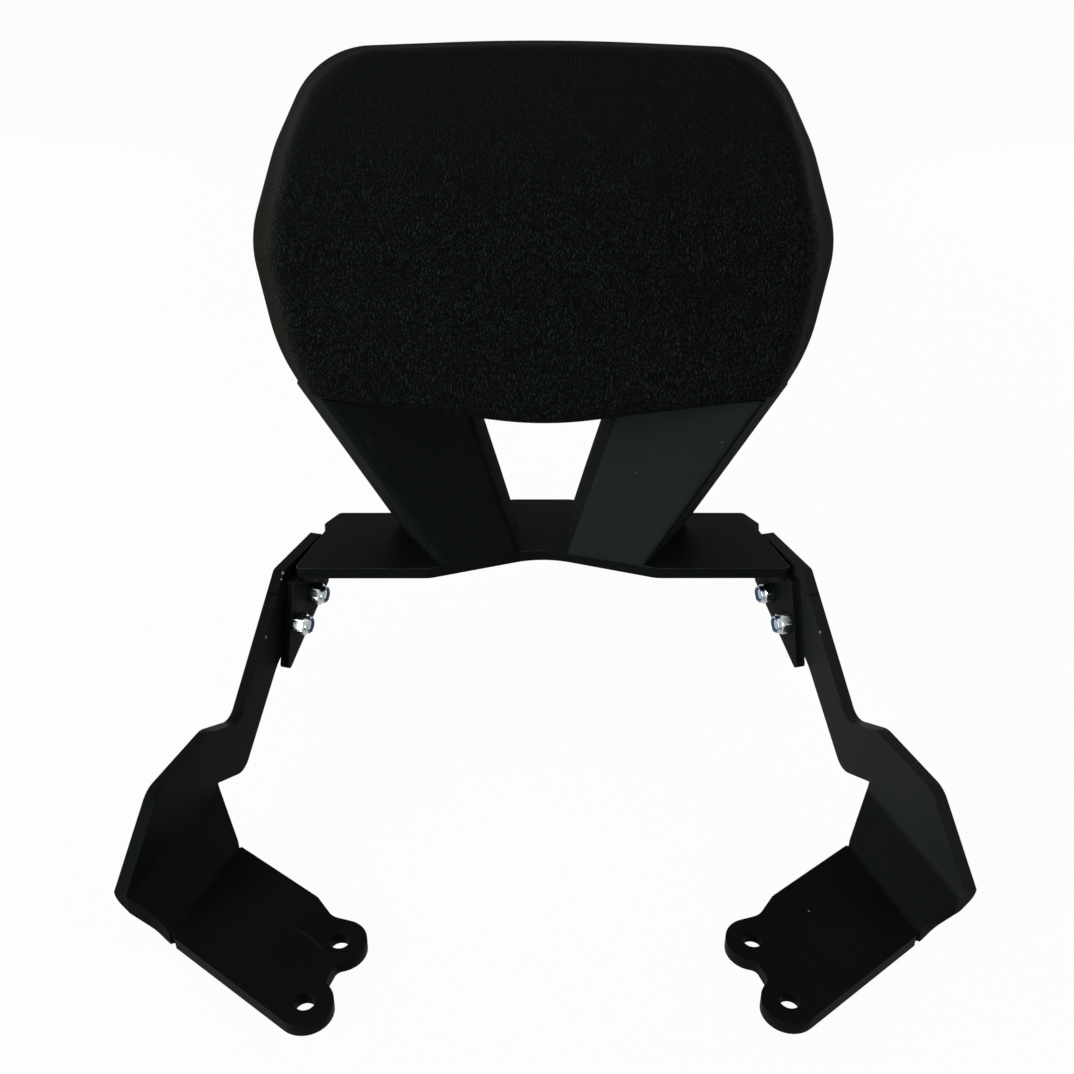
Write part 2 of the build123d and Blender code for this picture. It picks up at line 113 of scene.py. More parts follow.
# %% [markdown]
# Every finish below is a small tree of shader nodes. They could be laid out by hand in the shader editor,
# but written out they can be read and changed. Two helpers keep that short. A Number stands for one
# socket of the tree, and plain arithmetic on it adds the Math nodes.

# %% Arithmetic on sockets
class Number:
    """One output socket of a shader tree. Arithmetic on it adds Math nodes."""

    def __init__(self, tree, socket):
        self.tree = tree
        self.socket = socket

    def math(self, operation, *others):
        node = self.tree.nodes.new("ShaderNodeMath")
        node.operation = operation
        for slot, value in zip(node.inputs, others):
            plug(self.tree, slot, value)
        return Number(self.tree, node.outputs[0])

    def __add__(self, other):
        return self.math("ADD", self, other)

    def __sub__(self, other):
        return self.math("SUBTRACT", self, other)

    def __rsub__(self, other):
        return self.math("SUBTRACT", other, self)

    def __mul__(self, other):
        return self.math("MULTIPLY", self, other)

    def __abs__(self):
        return self.math("ABSOLUTE", self)

    def most(self, other):
        return self.math("MAXIMUM", self, other)

    __radd__ = __add__
    __rmul__ = __mul__


def plug(tree, slot, value):
    """Link a Number into a socket, or set a plain value on it."""
    if isinstance(value, Number):
        tree.links.new(value.socket, slot)
    else:
        slot.default_value = value


print("arithmetic on sockets ready")

# %% [markdown]
# A Finish makes a material. Its method node adds any node from its type, its settings and what goes into
# its sockets, and the other methods are the few patterns that come back in every finish: noise, a smooth
# step, a blend of two colours and a ragged patch. All of them read the coordinates of the object itself,
# so a mark stays at its place on the object when the object is moved.

# %% Finish
class Finish:
    """A material with one surface shader, made node by node."""

    def __init__(self, name, tree=None):
        if tree is None:
            self.material = bpy.data.materials.new(name)
            self.material.use_nodes = True
            tree = self.material.node_tree
            tree.nodes.clear()
            self.output = tree.nodes.new("ShaderNodeOutputMaterial")
        self.tree = tree

    def node(self, kind, settings=None, sockets=None, out=0):
        node = self.tree.nodes.new("ShaderNode" + kind)
        for key, value in (settings or {}).items():
            setattr(node, key, value)
        for key, value in (sockets or {}).items():
            plug(self.tree, node.inputs[key], value)
        return Number(self.tree, node.outputs[out])

    def vector(self, operation, first, second, out=0):
        """Arithmetic on two vectors."""
        return self.node("VectorMath", {"operation": operation}, {0: first, 1: second}, out)

    def place(self, scale=(1, 1, 1), turn=(0, 0, 0)):
        """Object coordinates in metres, turned and stretched."""
        spot = self.node("TexCoord", out="Object")
        return self.node("Mapping", None, {"Vector": spot, "Scale": scale, "Rotation": turn})

    def noise(self, scale, detail=2.0, rough=0.5, where=None):
        sockets = {"Scale": scale, "Detail": detail, "Roughness": rough}
        sockets["Vector"] = where or self.place()
        return self.node("TexNoise", None, sockets)

    def step(self, value, low, high, start=0.0, end=1.0):
        """A smooth step from start to end while the value goes from low to high."""
        sockets = {"Value": value, "From Min": low, "From Max": high, "To Min": start, "To Max": end}
        return self.node("MapRange", {"interpolation_type": "SMOOTHSTEP"}, sockets)

    def blend(self, factor, first, second):
        """From the first colour to the second."""
        return self.node("Mix", {"data_type": "RGBA"}, {0: factor, 6: first, 7: second}, out=2)

    def gap(self, spot):
        """Distance from one point of the object, given in millimetres."""
        return self.vector("DISTANCE", self.place(), [x * mm for x in spot], out="Value")

    def near(self, spot, radius, ragged=0.35):
        """A ragged patch around one point, in millimetres."""
        edge = (self.noise(1600 / radius, 3.0) - 0.5) * (2 * ragged * radius * mm)
        return self.step(self.gap(spot) + edge, radius * mm, radius * 0.75 * mm)

    def bump(self, height, depth):
        return self.node("Bump", None, {"Height": height, "Distance": depth, "Strength": 1.0})

    def surface(self, **sockets):
        names = {key.replace("_", " "): value for key, value in sockets.items()}
        shader = self.node("BsdfPrincipled", None, names)
        self.tree.links.new(shader.socket, self.output.inputs["Surface"])
        return self.material


def grey(brightness, tint=(1, 1, 1)):
    """A near-neutral colour at one brightness."""
    return (*(brightness * share for share in tint), 1)


print("finish helper ready")

# %% [markdown]
# The picture was cut out on white, so the stage is a white floor that fills the view. Stronger lamps
# would make a grey floor white too, but they would bleach the object. Instead the floor shows plain white
# to the camera and in reflections, and a small share of ordinary matt white stays in the mix, which
# leaves a very faint shadow of the object.

# %% Floor
reach, floor_drop, white_share = 30, 0.4 * mm, 0.96
floor_corners = [(-reach, -reach, 0), (reach, -reach, 0), (reach, reach, 0), (-reach, reach, 0)]
floor_mesh = bpy.data.meshes.new("floor")
floor_mesh.from_pydata(floor_corners, [], [(0, 1, 2, 3)])
floor = bpy.data.objects.new("floor", floor_mesh)
floor.location.z = -floor_drop
scene.collection.objects.link(floor)


def seen_ray(tree):
    """1 for a ray from the camera, a mirror or glass, and 0 for one that only brings light."""
    path = tree.nodes.new("ShaderNodeLightPath")
    direct = Number(tree, path.outputs["Is Camera Ray"])
    mirrored = Number(tree, path.outputs["Is Glossy Ray"])
    return direct.most(mirrored).most(Number(tree, path.outputs["Is Transmission Ray"]))


paper = Finish("white_paper")
matt = paper.node("BsdfDiffuse", None, {"Color": grey(0.8)})
white = paper.node("Emission", None, {"Color": grey(1.0), "Strength": 1.0})
sheet = paper.node("MixShader", None, {0: seen_ray(paper.tree) * white_share, 1: matt, 2: white})
paper.tree.links.new(sheet.socket, paper.output.inputs["Surface"])
floor_mesh.materials.append(paper.material)
print("floor", reach * 2, "m wide")

# %% [markdown]
# The room round the floor is the world. It lights the object from all sides, pale at the horizon and dim
# overhead, and to the camera and in reflections it is as white as the floor, so that hardly a line shows
# where the floor ends.

# %% Room
room_white = 0.98
world = bpy.data.worlds.new("studio")
scene.world = world
world.use_nodes = True
room = Finish("studio", world.node_tree)
room.tree.nodes.clear()
height = room.node("SeparateXYZ", None, {0: room.node("TexCoord", out="Generated")}, out="Z")
pale = room.step(height, 0.02, 0.18, 0.95, 0.10).most(seen_ray(room.tree) * room_white)
air = room.node("Background", None, {"Color": grey(1.0), "Strength": pale})
sky = room.tree.nodes.new("ShaderNodeOutputWorld")
room.tree.links.new(air.socket, sky.inputs["Surface"])
print("world", world.name)

# %% [markdown]
# Left and right in this cell are those of the photograph. Its light comes mostly from the left and front:
# the inner side of the right arm and the front of the right leg are the brightest, while everything that
# faces straight up stays almost black. A high key on the left, a low soft box in front on the left, a
# warm fill on the right and a weak top light come near that. Two more stand behind on the sides, so that
# the walls and the back can be read too.

# %% Lamps
lit_point = Vector((0, 0.15, 0.15))
plain, cold, colder, warm = (1, 1, 1), (0.96, 1.0, 1.0), (0.96, 0.99, 1.0), (1.0, 0.96, 0.86)


def softbox(name, place, size, power, colour):
    """A square lamp of that size that faces the middle of the object."""
    lamp = bpy.data.lights.new(name, "AREA")
    lamp.size = size
    lamp.energy = power
    lamp.color = colour
    box = bpy.data.objects.new(name, lamp)
    scene.collection.objects.link(box)
    box.location = place
    box.rotation_euler = (lit_point - Vector(place)).to_track_quat("-Z", "Y").to_euler()
    return box


lamps = [
    softbox("key_left", (-1.5, -0.6, 0.9), 0.9, 16, colder),
    softbox("low_left", (-1.2, -1.5, 0.3), 0.7, 19, cold),
    softbox("fill_right", (1.3, 0.1, 0.8), 0.8, 4, warm),
    softbox("top", (0, 0.3, 1.7), 1.2, 3, plain),
    softbox("back_left", (-1.6, 1.7, 0.45), 0.8, 15, plain),
    softbox("back_right", (1.6, 1.7, 0.45), 0.8, 13, plain),
]
print("lamps", [lamp.name for lamp in lamps])

# %% [markdown]
# The brackets, the ears and the cross plate are cut and folded steel with a black powder coat. The coat
# cures with a fine orange peel, so the surface gets a shallow noise bump at about a millimetre and a
# roughness that wanders. A few knocks have gone through to bare steel on the arms and one foot, the other
# foot carries a faint scratch, and there is a brownish smear. The marks could be painted on a picture, but
# that needs every sheet laid out flat, so each one is a ragged patch around a point of the object. One arm,
# the right one as the camera sees it, is painted paler than the rest in patches: a painted sheen for the
# light that falls on it.

# %% Powder coat
cool = (0.80, 1.0, 0.93)
chips = [
    ((-132.0, 186.3, 98.2), 0.85), ((-132.6, 183.8, 96.0), 0.65), ((-138.7, 163.5, 74.4), 0.85),
    ((138.5, 164.3, 76.5), 0.8), ((115.9, 47.5, 6), 0.45),
]
dark_edge_lines = [(-136.0, 178.7, 90.3), (136.0, 178.2, 89.8), (-130.5, 181.9, 80.1)]
smear_middle = (124.4, 30, 6)
scratch_middle, scratch_centre, scratch_radius = (-101.5, 33.2, 6), (-135.4, -6.1, 6), 52
arm_sheen_starts, arm_sheen_full = 84 * mm, 86.2 * mm


def powder_coat():
    coat = Finish("powder_coat")
    peel = coat.noise(1100, 2.0)
    cloud = coat.noise(26, 3.0, 0.6)
    colour = coat.blend(cloud, grey(0.0050, cool), grey(0.0084, cool))
    # Painted sheen: outboard of the right front hole, the right arm is painted paler in patches for the
    # light that falls on it.
    from_hole = coat.vector("SUBTRACT", coat.place(), front_hole * mm)
    reach_out = coat.vector("DOT_PRODUCT", from_hole, outboard, out="Value")
    arm_sheen = coat.step(reach_out, arm_sheen_starts, arm_sheen_full) * (0.55 + coat.noise(45, 4.0, 0.6) * 0.6)
    colour = coat.blend(arm_sheen, colour, grey(0.0165, (0.86, 1.0, 0.92)))
    dust = coat.step(coat.noise(900, 4.0, 0.7), 0.68, 0.78) * coat.step(cloud, 0.5, 0.68)
    colour = coat.blend(dust * 0.30, colour, grey(0.035, cool))
    smear = coat.step(coat.gap(smear_middle), 0.016, 0.003)
    smear = smear * coat.step(coat.noise(160, 4.0, 0.7), 0.42, 0.7)
    colour = coat.blend(smear * 0.6, colour, (0.013, 0.0098, 0.0072, 1))
    ring = abs(coat.gap(scratch_centre) - scratch_radius * mm)
    scratch = coat.step(ring, 0.00060, 0.00012) * coat.near(scratch_middle, 11, 0.3)
    colour = coat.blend(scratch * 0.2, colour, grey(0.045))
    up_here = coat.node("SeparateXYZ", None, {0: coat.place()}, out="Z")
    # Thin dark lines across the edges of the steel, each a narrow band at one height inside a ragged patch.
    for spot in dark_edge_lines:
        line = coat.step(abs(up_here - spot[2] * mm), 0.0006, 0.0002) * coat.near(spot, 5)
        colour = coat.blend(line * 0.7, colour, grey(0.0008))
    bare = coat.near(*chips[0], 0.7)
    for spot, radius in chips[1:]:
        bare = bare.most(coat.near(spot, radius, 0.7))
    colour = coat.blend(bare * 0.85, colour, (0.30, 0.29, 0.27, 1))
    rough = 0.36 + cloud * 0.12 + peel * 0.06 + smear * 0.15
    return coat.surface(
        Base_Color=colour, Roughness=rough, Normal=coat.bump(peel - bare * 0.8, 0.00004),
        Specular_IOR_Level=0.010, Specular_Tint=grey(1.0, (0.9, 1.0, 0.95)),
    )


steel_finish = powder_coat()
print("finish", steel_finish.name, "with", len(chips), "bare spots and", len(dark_edge_lines), "dark_edge_lines")

# %% [markdown]
# A rounded edge of the steel or the carrier catches the light, so it is painted a little paler than the
# flat beside it: a painted highlight. It gets a finish of its own, which is easier to steer than a mask
# inside the first one. A slow noise lets the pale line come and go.

# %% Painted edge highlight
def painted_edge_highlight():
    edge = Finish("painted_edge_highlight")
    wander = edge.noise(60, 4.0, 0.65)
    fine = edge.noise(1300, 2.0)
    # The pale tone is a painted highlight along the edge.
    colour = edge.blend(edge.step(wander, 0.35, 0.7), grey(0.0055, cool), grey(0.026, cool))
    return edge.surface(
        Base_Color=colour, Roughness=0.36 + wander * 0.2, Normal=edge.bump(fine, 0.00003),
        Specular_IOR_Level=0.05,
    )


edge_highlight_finish = painted_edge_highlight()
print("finish", edge_highlight_finish.name)

# %% [markdown]
# The carrier is moulded plastic with a fine spark-eroded texture: satin, even, and a little cooler than the
# steel. A satin moulding picks up soft scuffs, so a stretched noise lightens it in streaks. The front of
# one leg, the right one as the camera sees it, is painted paler: a painted sheen for the light that falls
# on it from the left, and its sides are not. A painted mask would need the moulding laid out flat, so the
# sheen is kept to the front by the distance behind the slanted plane of that leg.

# %% Moulded plastic
lint_spots = [(87.5, 198.6, 165.0), (46.7, 206.4, 144.6)]


def moulded_plastic():
    skin = Finish("moulded_plastic")
    grain = skin.noise(1900, 2.0)
    cloud = skin.noise(18, 3.0, 0.55)
    scuff = skin.noise(40, 5.0, 0.65, skin.place((2.5, 2.5, 0.6), (0, radians(20), 0)))
    scuff = skin.step(scuff, 0.52, 0.75)
    colour = skin.blend(cloud, grey(0.0058, (0.82, 0.98, 1.0)), grey(0.0080, (0.84, 0.99, 1.0)))
    on_rest_here = skin.vector("SUBTRACT", skin.place(), rest_origin * mm)
    aside = skin.node("SeparateXYZ", None, {0: on_rest_here}, out="X")
    out_here = skin.vector("DOT_PRODUCT", on_rest_here, rest_out, out="Value")
    front = skin.step(abs(aside) * leg_sweep - out_here, 0.0100, 0.0090)
    # Painted sheen: the front of the right leg is painted paler for the light that falls on it.
    leg_sheen = front * skin.step(aside, 0.008, 0.014)
    colour = skin.blend(leg_sheen * (0.7 + cloud * 0.4), colour, grey(0.0185, (0.86, 0.99, 1.0)))
    colour = skin.blend(scuff * 0.18, colour, grey(0.022, (0.9, 1.0, 1.0)))
    lint = skin.near(lint_spots[0], 0.5)
    lint = lint.most(skin.near(lint_spots[1], 0.5))
    colour = skin.blend(lint * 0.3, colour, grey(0.2))
    rough = 0.84 - front * 0.38 + cloud * 0.08 + grain * 0.05
    return skin.surface(
        Base_Color=colour, Roughness=rough, Normal=skin.bump(grain, 0.00004),
        Specular_IOR_Level=0.01, Specular_Tint=grey(1.0, (0.88, 0.98, 1.0)),
    )


carrier_finish = moulded_plastic()
print("finish", carrier_finish.name)

# %% [markdown]
# The pad is foam under a moulded skin that copies leather: short curved creases with small cushions
# between. Modelling each crease would take millions of faces, so they are drawn. Cells of a Voronoi
# texture, drawn out along the pad's height and pushed about by noise, give the creases, and a finer
# pebble lies over them. On the side wall the mould was plainer, so there the creases fade and the pebble
# stays. Each point of the pad's mesh will carry a number, face_share, that is 1 on the face and 0 low on
# the wall.

# %% Leather-grain skin
def leather_skin():
    skin = Finish("leather_skin")
    front = skin.node("Attribute", {"attribute_name": "face_share"}, None, out="Fac")
    drift = skin.node("TexNoise", None, {"Vector": skin.place(), "Scale": 75.0, "Detail": 3.0}, out="Color")
    drift = skin.vector("SUBTRACT", drift, (0.5, 0.5, 0.5))
    drift = skin.node("VectorMath", {"operation": "SCALE"}, {0: drift, "Scale": 0.0090})
    spot = skin.vector("ADD", skin.place((1, 1, 0.36), (lean, 0, 0)), drift)
    cells = skin.node("TexVoronoi", {"feature": "DISTANCE_TO_EDGE"}, {"Vector": spot, "Scale": 850.0})
    crease = skin.step(cells, 0.05, 0.29)
    pebble = skin.noise(1500, 3.0, 0.6)
    cloud = skin.noise(14, 3.0, 0.6)
    up_here = skin.node("SeparateXYZ", None, {0: skin.place()}, out="Z")
    plain_top = skin.step(up_here, 0.255, 0.330)
    fade = skin.step(skin.noise(70, 2.0), 0.32, 0.6, 0.55, 1.0) * (0.35 + front * 0.65)
    relief_and_shade = crease * fade * (1 - plain_top * 0.5) + pebble * 0.4
    # The colour follows the relief: the creases are painted nearly black, a painted shade for the shade
    # that falls in them, and the cushions lighter.
    tone = skin.blend(relief_and_shade, grey(0.0001, cool), grey(0.0142, cool))
    tone = skin.blend(plain_top * 0.5, tone, grey(0.0074, cool))
    # Painted highlight: the side wall is painted lighter and warmer than the face, for the warm light that
    # falls on it from the side.
    side = skin.blend(relief_and_shade, (0.0014, 0.0016, 0.0010, 1), (0.0172, 0.0184, 0.0128, 1))
    rough = 0.92 - front * 0.24 - relief_and_shade * 0.10 + cloud * 0.06
    return skin.surface(
        Base_Color=skin.blend(front, side, tone), Roughness=rough, Normal=skin.bump(relief_and_shade, 0.00045),
        Specular_IOR_Level=0.012, Specular_Tint=grey(1.0, (0.9, 1.0, 0.97)),
    )


pad_finish = leather_skin()
print("finish", pad_finish.name)

# %% [markdown]
# Bolts, nuts and washers are zinc plated: bright, slightly blue, with faint cloudy variation from the
# bath. The ring in each lock nut is blue nylon. The threaded inserts are brass, and the board behind the
# foam is plain black plastic. One flat colour each would do from far away, but a little noise in colour
# and roughness makes them look like metal and plastic close up.

# %% Zinc, nylon, brass and board
def zinc_plate():
    zinc = Finish("zinc_plate")
    cloud = zinc.noise(260, 3.0, 0.6)
    fine = zinc.noise(2600, 2.0)
    colour = zinc.blend(cloud, (0.28, 0.32, 0.35, 1), (0.52, 0.55, 0.55, 1))
    rough = 0.14 + cloud * 0.14 + fine * 0.06
    return zinc.surface(Base_Color=colour, Roughness=rough, Metallic=1.0, Normal=zinc.bump(fine, 0.00001))


def nylon():
    ring = Finish("nylon")
    cloud = ring.noise(700, 2.0)
    colour = ring.blend(cloud, (0.007, 0.035, 0.11, 1), (0.015, 0.07, 0.19, 1))
    return ring.surface(Base_Color=colour, Roughness=0.4 + cloud * 0.1, Normal=ring.bump(cloud, 0.00002))


def brass():
    metal = Finish("brass")
    cloud = metal.noise(400, 3.0)
    colour = metal.blend(cloud, (0.55, 0.38, 0.13, 1), (0.72, 0.52, 0.22, 1))
    return metal.surface(Base_Color=colour, Roughness=0.3 + cloud * 0.15, Metallic=1.0)


def board_plastic():
    board = Finish("board_plastic")
    grain = board.noise(1400, 2.0)
    colour = board.blend(grain, grey(0.010), grey(0.016))
    return board.surface(Base_Color=colour, Roughness=0.55 + grain * 0.1, Normal=board.bump(grain, 0.00003))


zinc_finish, nylon_finish, brass_finish, board_finish = zinc_plate(), nylon(), brass(), board_plastic()
print("finishes", zinc_finish.name, nylon_finish.name, brass_finish.name, board_finish.name)

# %% [markdown]
# Each solid of the frame takes its finish by name. A solid model has knife edges, while coated steel and
# moulded plastic have soft ones that catch the light, so the sheet pieces and the carrier get a live
# bevel: the loose triangles are welded, flat areas are dissolved to single faces, and only the true edges
# are rounded. The new narrow faces take the second material.

# %% Finish the frame's own pieces
steel_edge, plastic_edge, edge_turn = 0.6, 0.5, radians(32)


def dress(name, material, edge=0):
    """Give a node of the frame its finish, and round its edges by a width in millimetres."""
    piece = nodes[name]
    piece.data.materials.clear()
    piece.data.materials.append(material)
    if edge:
        piece.modifiers.new("weld", "WELD").merge_threshold = 0.002 * mm
        flats = piece.modifiers.new("flats", "DECIMATE")
        flats.decimate_type = "DISSOLVE"
        flats.angle_limit = radians(0.3)
        round_over = piece.modifiers.new("edges", "BEVEL")
        round_over.width = edge * mm
        round_over.segments = 3
        round_over.limit_method = "ANGLE"
        round_over.angle_limit = edge_turn
        round_over.harden_normals = True
        # The rounded faces take the second finish, a painted highlight along the edges.
        piece.data.materials.append(edge_highlight_finish)
        round_over.material = 1


for name in nodes:
    if name.endswith(("bracket", "ear")) or name == "cross_plate":
        dress(name, steel_finish, steel_edge)
    elif name == "backrest_carrier":
        dress(name, carrier_finish, plastic_edge)
    elif name == "pad_board":
        dress(name, board_finish)
    elif name.endswith("inserts"):
        dress(name, brass_finish)
print("dressed", sum(bool(piece.modifiers) for piece in nodes.values()), "nodes with rounded edges")

# %% [markdown]
# The pad is drawn in its own frame: across the bike, up the leaning rest plane, and out of it towards the
# rider. It could be cut from a block with bevels, but its corners have radii from 8 mm to more than a
# metre, so it is simpler to work out two outlines: the rim on the carrier and the smaller front face.
# Only one half is listed, because the pad is the same on both sides.

# %% Outlines of the pad
arc_points, run_points = 20, 10


def both_sides(half):
    """A symmetric outline from the corners of one half, in order from the middle."""
    return half + [((-x, v), r) for (x, v), r in reversed(half) if x > 0]


def rounded(corners):
    """Points round an outline of corners with radii: an even arc at each corner and an even run between."""
    count = len(corners)
    arcs = []
    for k, (spot, radius) in enumerate(corners):
        here = Vector(spot)
        back = (Vector(corners[k - 1][0]) - here).normalized()
        on = (Vector(corners[(k + 1) % count][0]) - here).normalized()
        half_angle = back.angle(on) / 2
        centre = here + (back + on).normalized() * (radius / sin(half_angle))
        first = here + back * (radius / tan(half_angle)) - centre
        sweep = (pi - 2 * half_angle) * (1 if back.cross(on) < 0 else -1)
        turns = [Matrix.Rotation(sweep * s / (arc_points - 1), 2) for s in range(arc_points)]
        arcs.append([centre + turn @ first for turn in turns])
    points = []
    for k, arc in enumerate(arcs):
        points += arc
        end = arcs[(k + 1) % count][0]
        points += [arc[-1].lerp(end, step / (run_points + 1)) for step in range(1, run_points + 1)]
    return points


rim_corners = both_sides(
    [
        ((0, 252.4), 1150), ((107.6, 248.2), 42), ((130.2, 203.4), 80), ((144.3, 160.4), 52),
        ((132.9, 107.5), 90), ((119.9, 85.9), 8), ((0, 71.3), 185),
    ]
)
face_corners = both_sides(
    [
        ((0, 244.4), 1150), ((98.6, 240.2), 42), ((117.2, 199.4), 80), ((127.3, 154.4), 52),
        ((119.4, 107.5), 90), ((109.9, 84.7), 8), ((0, 71.3), 185),
    ]
)
rim = rounded(rim_corners)
face = rounded(face_corners)
rim_width = max(p.x for p in rim) - min(p.x for p in rim)
print("pad outlines", len(rim), "points, rim width", round(rim_width, 1), "mm")

# %% [markdown]
# A skin made of closed rings, one above the other, is easy to build: each ring has the same number of
# points, so a band of four-sided faces joins it to the next. Every ring is stored with its share of the
# face, which the finish reads to tell the face from the wall.

# %% Skin from rings
def bands(ring_count, count):
    """Faces between neighbouring rings of that many points."""
    faces = []
    for low in range(ring_count - 1):
        here, above = low * count, (low + 1) * count
        for k in range(count):
            on = (k + 1) % count
            faces.append((here + k, here + on, above + on, above + k))
    return faces


def ring_mesh(name, rings, shares, ends):
    """A closed skin from rings of points, with one point that closes each end."""
    count = len(rings[0])
    points = [p * mm for ring in rings for p in ring] + [p * mm for p in ends]
    faces = bands(len(rings), count)
    first, last = len(points) - 2, len(points) - 1
    top = (len(rings) - 1) * count
    for k in range(count):
        on = (k + 1) % count
        faces.append((first, on, k))
        faces.append((top + k, top + on, last))
    mesh = bpy.data.meshes.new(name)
    mesh.from_pydata(points, [], faces)
    mesh.polygons.foreach_set("use_smooth", [True] * len(faces))
    share = mesh.attributes.new("face_share", "FLOAT", "POINT")
    share.data.foreach_set("value", [s for s in shares for _ in range(count)] + [0.0, 1.0])
    mesh.update()
    return mesh


print("skin helper ready")

# %% [markdown]
# The rings of the pad start in the shallow recess for the board at the back, turn round the rim, climb
# the side wall, roll over the front edge and close in on the middle of the crowned face. A subdivided
# cage would give a cushion too, but with rings each height is exact.

# %% Rings of the pad
depth, roll_over, crown = 30, 8, 2.4
recess_depth, recess_inset = 6.2, 12
wall_top, grain_starts, tuck_share = depth - roll_over, 12, 0.8
middle = Vector((0, 160))
rings, shares = [], []


def on_rest(x, v, w):
    """A point of the rest frame, in millimetres of the object."""
    return rest_origin + Vector((x, 0, 0)) + rest_up * v + rest_out * w


def inset(corners, amount):
    """Corners of the outline that lies inside another by an even amount."""
    moved = []
    count = len(corners)
    for k, (spot, radius) in enumerate(corners):
        here = Vector(spot)
        before = (here - Vector(corners[k - 1][0])).normalized()
        after = (Vector(corners[(k + 1) % count][0]) - here).normalized()
        normal_a = Vector((before.y, -before.x))
        normal_b = Vector((after.y, -after.x))
        shift = (normal_a + normal_b) / (1 + normal_a.dot(normal_b)) * amount
        moved.append(((here + shift)[:], max(radius - amount, 1.0)))
    return moved


def add_ring(points, height_here, share):
    """One more ring of the skin at one height, with its share of the face."""
    rings.append([on_rest(p.x, p.y, height_here) for p in points])
    shares.append(share)


def between(low, high, share):
    """The outline that lies between two others."""
    return [p.lerp(q, share) for p, q in zip(low, high)]


recess = rounded(inset(rim_corners, recess_inset))
for share in (0.25, 0.5, 0.75, 1.0):
    add_ring([middle.lerp(p, share) for p in recess], recess_depth, 0)
add_ring(recess, 0.8, 0)
for share, height_here in ((0.06, 0), (0.75, 0), (0.92, 0.15)):
    add_ring(between(recess, rim, share), height_here, 0)
for height_here in (1.2, 4, 8, 12, 15, 18, 20.5, wall_top):
    add_ring(between(rim, face, height_here / depth), height_here, max(0, height_here - grain_starts) / 24)
for step in range(1, 11):
    angle = pi / 2 * step / 10
    height_here = wall_top + roll_over * sin(angle)
    tuck = roll_over * tuck_share * (1 - cos(angle))
    edge = [p + (middle - p).normalized() * tuck for p in between(rim, face, height_here / depth)]
    add_ring(edge, height_here, min(1, 0.5 + step / 12))
for share in (0.97, 0.93, 0.88, 0.8, 0.7, 0.6, 0.5, 0.4, 0.3, 0.2, 0.1):
    add_ring([middle.lerp(p, share) for p in edge], depth + crown * (1 - share**2), 1)
print("pad rings", len(rings))

# %% [markdown]
# The rings become one mesh, and the pad takes the place of the plain solid that stands for it in the frame.

# %% Pad
ends = [on_rest(*middle, recess_depth), on_rest(*middle, depth + crown)]
pad_mesh = ring_mesh("pad", rings, shares, ends)
pad = bpy.data.objects.new("pad", pad_mesh)
scene.collection.objects.link(pad)
pad_mesh.materials.append(pad_finish)
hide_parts("backrest_pad")
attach(pad, "root")
print("pad", len(pad_mesh.polygons), "faces")

# %% [markdown]
# Nuts, bolt heads, screws and washers are turned or cold formed, so each is drawn as rings round an axis:
# a radius and a height for each. Where a radius is a hexagon, a limit on it cuts the corners off in a
# cone, which is how the chamfer of a real nut comes about. A body with a bore closes back on its first
# ring, and a solid one gets a flat face at each end.

# %% Turned shapes
def hexed(across_flats, limit=99):
    """Radius of a hexagon at an angle, cut back to a circle."""
    return lambda angle: min(across_flats / 2 / cos((angle + pi / 6) % (pi / 3) - pi / 6), limit)


def smooth_mesh(work, name):
    """The mesh of a finished bmesh, with its faces outward and smooth."""
    bmesh.ops.recalc_face_normals(work, faces=work.faces)
    for face_here in work.faces:
        face_here.smooth = True
    mesh = bpy.data.meshes.new(name)
    work.to_mesh(mesh)
    work.free()
    return mesh


def turned(name, profile, bored, sides=48):
    """A mesh from rings of (radius, height) in millimetres round the Z axis."""
    work = bmesh.new()
    rows = []
    for radius, height_here in profile:
        row = []
        for k in range(sides):
            angle = 2 * pi * k / sides
            r = radius(angle) if callable(radius) else radius
            row.append(work.verts.new((r * cos(angle) * mm, r * sin(angle) * mm, height_here * mm)))
        rows.append(row)
    loops = list(zip(rows, rows[1:]))
    if bored:
        loops.append((rows[-1], rows[0]))
    for low, high in loops:
        for k in range(sides):
            work.faces.new((low[k], low[(k + 1) % sides], high[(k + 1) % sides], high[k]))
    if not bored:
        work.faces.new(rows[0])
        work.faces.new(rows[-1])
    return smooth_mesh(work, name)


print("turning helper ready")

# %% [markdown]
# The hardware is M6, 10 mm across the flats, with socket screws of M5 in the pad. The lock nut has a
# collar above its hexagon that is rolled in over the nylon ring, so nut and ring are two shapes and each
# can have its own finish.

# %% Nut, ring, washers, bolt and screw
flats, socket = 10, 5
nut_shape = turned(
    "nut_shape",
    [
        (3.4, 0), (hexed(flats, 4.9), 0), (hexed(flats, 5.33), 0.25), (hexed(flats), 0.5),
        (hexed(flats), 5.25), (hexed(flats, 5.33), 5.5), (hexed(flats, 4.9), 5.75),
        (4.7, 5.95), (4.58, 6.15), (4.55, 7.2),
        (4.45, 7.6), (4.25, 7.88), (4.08, 7.98), (3.99, 7.9), (3.99, 6.4), (3.06, 6.4), (3.06, 0.35),
    ],
    bored=True,
)
ring_shape = turned(
    "ring_shape",
    [(3.06, 6.42), (3.94, 6.42), (3.94, 7.6), (3.8, 7.8), (3.45, 7.86), (3.15, 7.75), (3.06, 7.5)],
    bored=True,
)
washer_shape = turned(
    "washer_shape",
    [(3.2, 0), (5.85, 0), (6.0, 0.2), (6.0, 1.3), (5.75, 1.58), (3.4, 1.6), (3.2, 1.45)],
    bored=True,
)


